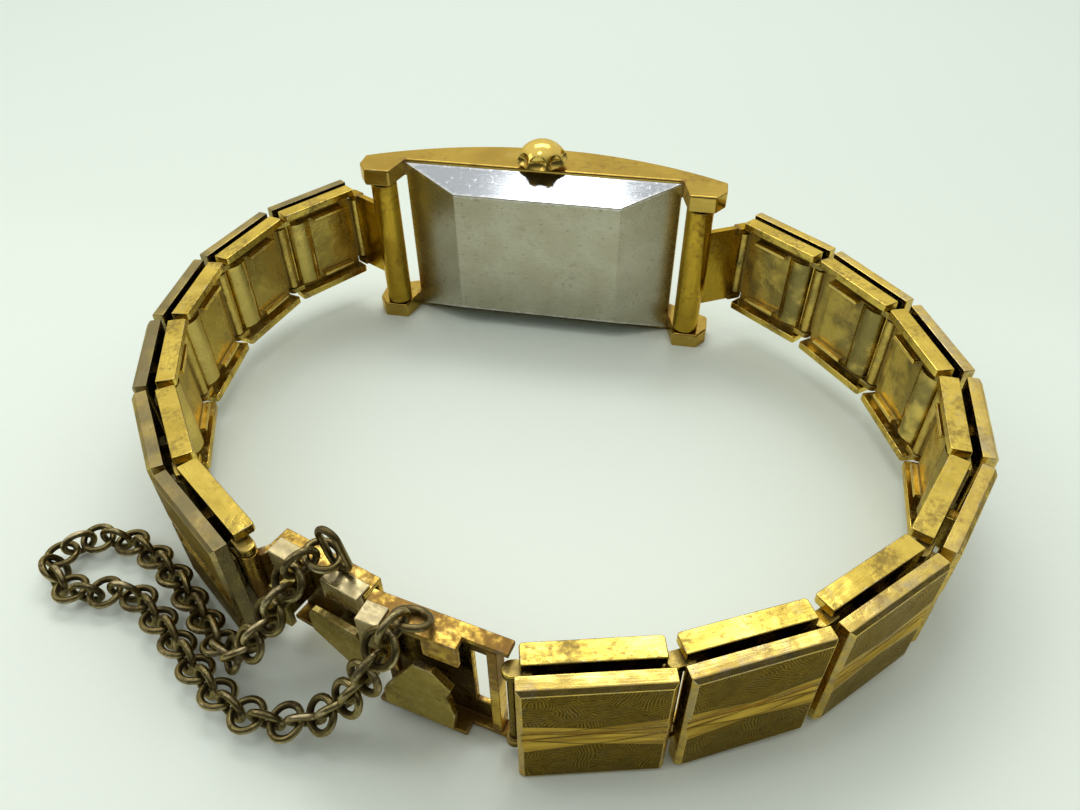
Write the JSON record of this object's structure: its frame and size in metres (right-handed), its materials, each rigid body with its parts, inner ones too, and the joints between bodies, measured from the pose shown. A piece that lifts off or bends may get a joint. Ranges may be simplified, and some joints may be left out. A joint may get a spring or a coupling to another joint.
{
  "type": "mechanical watch",
  "caption": "Slim rectangular gold-tone hand-wound watch on a closed bracelet of two-layer folded-sheet links, with a hook-and-ladder clasp and a safety chain of round rings.",
  "frame": {"origin": "On the long side of the case that the watch stands on, in the middle of the case's length and in the plane of the dial.", "axes": "+X runs along the case, +Y is the dial side, -Y the clasp side of the closed bracelet, +Z the crown side."},
  "size_m": [0.0533, 0.0464, 0.0158],
  "materials": {
    "case_gold": "polished",
    "case_back_steel": "satin",
    "crystal": "clear",
    "dial": "matte",
    "hands": "polished",
    "crown_gold": "polished",
    "steel": "satin",
    "movement_brass": "satin",
    "end_gold": "satin",
    "link_inner_gold": "satin",
    "link_cap_gold": "satin",
    "clasp_gold": "satin",
    "clasp_nickel": "satin",
    "chain_brass": "satin"
  },
  "bodies": {
    "case": {"case_frame": "case_gold", "case_back": "case_back_steel", "crystal": "crystal", "dial": "dial", "spring_bar_left": "steel", "spring_bar_right": "steel", "main_plate": "movement_brass", "train_bridge": "movement_brass", "balance_cock": "movement_brass"},
    "hour": {"hour_hand": "hands"},
    "minute": {"minute_hand": "hands", "centre_wheel": "movement_brass"},
    "barrel": {"mainspring_barrel": "movement_brass"},
    "balance": {"balance_wheel": "movement_brass"},
    "setting": {"setting_lever": "steel"},
    "winding": {"crown": "crown_gold", "winding_stem": "steel"},
    "end_left": {"end_piece_left": "end_gold"},
    "end_right": {"end_piece_right": "end_gold"},
    "link_right_1": {"link_right_1_frame": "link_inner_gold", "link_right_1_cap": "link_cap_gold"},
    "link_right_2": {"link_right_2_frame": "link_inner_gold", "link_right_2_cap": "link_cap_gold"},
    "link_right_3": {"link_right_3_frame": "link_inner_gold", "link_right_3_cap": "link_cap_gold"},
    "link_right_4": {"link_right_4_frame": "link_inner_gold", "link_right_4_cap": "link_cap_gold"},
    "link_right_5": {"link_right_5_frame": "link_inner_gold", "link_right_5_cap": "link_cap_gold"},
    "link_right_6": {"link_right_6_frame": "link_inner_gold", "link_right_6_cap": "link_cap_gold"},
    "link_right_7": {"link_right_7_frame": "link_inner_gold", "link_right_7_cap": "link_cap_gold"},
    "link_right_8": {"link_right_8_frame": "link_inner_gold", "link_right_8_cap": "link_cap_gold"},
    "link_left_1": {"link_left_1_frame": "link_inner_gold", "link_left_1_cap": "link_cap_gold"},
    "link_left_2": {"link_left_2_frame": "link_inner_gold", "link_left_2_cap": "link_cap_gold"},
    "link_left_3": {"link_left_3_frame": "link_inner_gold", "link_left_3_cap": "link_cap_gold"},
    "link_left_4": {"link_left_4_frame": "link_inner_gold", "link_left_4_cap": "link_cap_gold"},
    "link_left_5": {"link_left_5_frame": "link_inner_gold", "link_left_5_cap": "link_cap_gold"},
    "link_left_6": {"link_left_6_frame": "link_inner_gold", "link_left_6_cap": "link_cap_gold"},
    "clasp": {"clasp_hook": "clasp_gold", "clasp_hook_plate": "clasp_nickel", "clasp_ladder": "clasp_gold", "clasp_ladder_plate": "clasp_nickel", "chain_ear_hook": "chain_brass", "chain_ear_ladder": "chain_brass", "safety_chain": "chain_brass"}
  },
  "joints": [
    {"name": "minute_turn", "type": "hinge", "parent": "case", "child": "minute", "pos_m": [0, 0, 0.0069], "axis": [0, 1, 0], "continuous": true},
    {"name": "hour_turn", "type": "hinge", "parent": "case", "child": "hour", "pos_m": [0, 0, 0.0069], "axis": [0, 1, 0], "continuous": true},
    {"name": "barrel_turn", "type": "hinge", "parent": "case", "child": "barrel", "pos_m": [-0.0038, -0.0026, 0.0069], "axis": [0, 1, 0], "continuous": true},
    {"name": "balance_swing", "type": "hinge", "parent": "case", "child": "balance", "pos_m": [0.004, -0.0028, 0.0052], "axis": [0, 1, 0], "range_deg": [-135, 135]},
    {"name": "crown_pull", "type": "slide", "parent": "case", "child": "setting", "axis": [0, 0, 1], "range_m": [0, 0.0008]},
    {"name": "crown_turn", "type": "hinge", "parent": "setting", "child": "winding", "pos_m": [0, -0.0011, 0.0138], "axis": [0, 0, 1], "continuous": true},
    {"name": "end_right_swing", "type": "hinge", "parent": "case", "child": "end_right", "pos_m": [0.0124, -0.003, 0.0069], "axis": [0, 0, 1], "range_deg": [0, 50]},
    {"name": "end_left_swing", "type": "hinge", "parent": "case", "child": "end_left", "pos_m": [-0.0124, -0.003, 0.0069], "axis": [0, 0, -1], "range_deg": [0, 50]},
    {"name": "link_right_1_bend", "type": "hinge", "parent": "end_right", "child": "link_right_1", "pos_m": [0.01611, -0.00103, 0.0069], "axis": [0, 0, 1], "range_deg": [0, 68]},
    {"name": "link_right_2_bend", "type": "hinge", "parent": "link_right_1", "child": "link_right_2", "pos_m": [0.02155, -0.00559, 0.0069], "axis": [0, 0, 1], "range_deg": [0, 12]},
    {"name": "link_right_3_bend", "type": "hinge", "parent": "link_right_2", "child": "link_right_3", "pos_m": [0.02592, -0.01119, 0.0069], "axis": [0, 0, 1], "range_deg": [0, 20]},
    {"name": "link_right_4_bend", "type": "hinge", "parent": "link_right_3", "child": "link_right_4", "pos_m": [0.02811, -0.01794, 0.0069], "axis": [0, 0, 1], "range_deg": [0, 22]},
    {"name": "link_right_5_bend", "type": "hinge", "parent": "link_right_4", "child": "link_right_5", "pos_m": [0.02762, -0.02502, 0.0069], "axis": [0, 0, 1], "range_deg": [0, 22]},
    {"name": "link_right_6_bend", "type": "hinge", "parent": "link_right_5", "child": "link_right_6", "pos_m": [0.0245, -0.0314, 0.0069], "axis": [0, 0, 1], "range_deg": [0, 20]},
    {"name": "link_right_7_bend", "type": "hinge", "parent": "link_right_6", "child": "link_right_7", "pos_m": [0.0194, -0.03634, 0.0069], "axis": [0, 0, 1], "range_deg": [0, 17]},
    {"name": "link_right_8_bend", "type": "hinge", "parent": "link_right_7", "child": "link_right_8", "pos_m": [0.01307, -0.03956, 0.0069], "axis": [0, 0, 1], "range_deg": [0, 13]},
    {"name": "link_left_1_bend", "type": "hinge", "parent": "end_left", "child": "link_left_1", "pos_m": [-0.01611, -0.00103, 0.0069], "axis": [0, 0, -1], "range_deg": [0, 83]},
    {"name": "link_left_2_bend", "type": "hinge", "parent": "link_left_1", "child": "link_left_2", "pos_m": [-0.02018, -0.00684, 0.0069], "axis": [0, 0, -1], "range_deg": [0, 22]},
    {"name": "link_left_3_bend", "type": "hinge", "parent": "link_left_2", "child": "link_left_3", "pos_m": [-0.02178, -0.01376, 0.0069], "axis": [0, 0, -1], "range_deg": [0, 19]},
    {"name": "link_left_4_bend", "type": "hinge", "parent": "link_left_3", "child": "link_left_4", "pos_m": [-0.02104, -0.02082, 0.0069], "axis": [0, 0, -1], "range_deg": [0, 17]},
    {"name": "link_left_5_bend", "type": "hinge", "parent": "link_left_4", "child": "link_left_5", "pos_m": [-0.01826, -0.02736, 0.0069], "axis": [0, 0, -1], "range_deg": [0, 15]},
    {"name": "link_left_6_bend", "type": "hinge", "parent": "link_left_5", "child": "link_left_6", "pos_m": [-0.01389, -0.03295, 0.0069], "axis": [0, 0, -1], "range_deg": [0, 16]},
    {"name": "clasp_bend", "type": "hinge", "parent": "link_left_6", "child": "clasp", "pos_m": [-0.00815, -0.03713, 0.0069], "axis": [0, 0, 1], "range_deg": [0, 15]}
  ],
  "couplings": [
    {"joint": "minute_turn", "follows": "barrel_turn", "ratio": -8},
    {"joint": "hour_turn", "follows": "barrel_turn", "ratio": -0.66667}
  ]
}
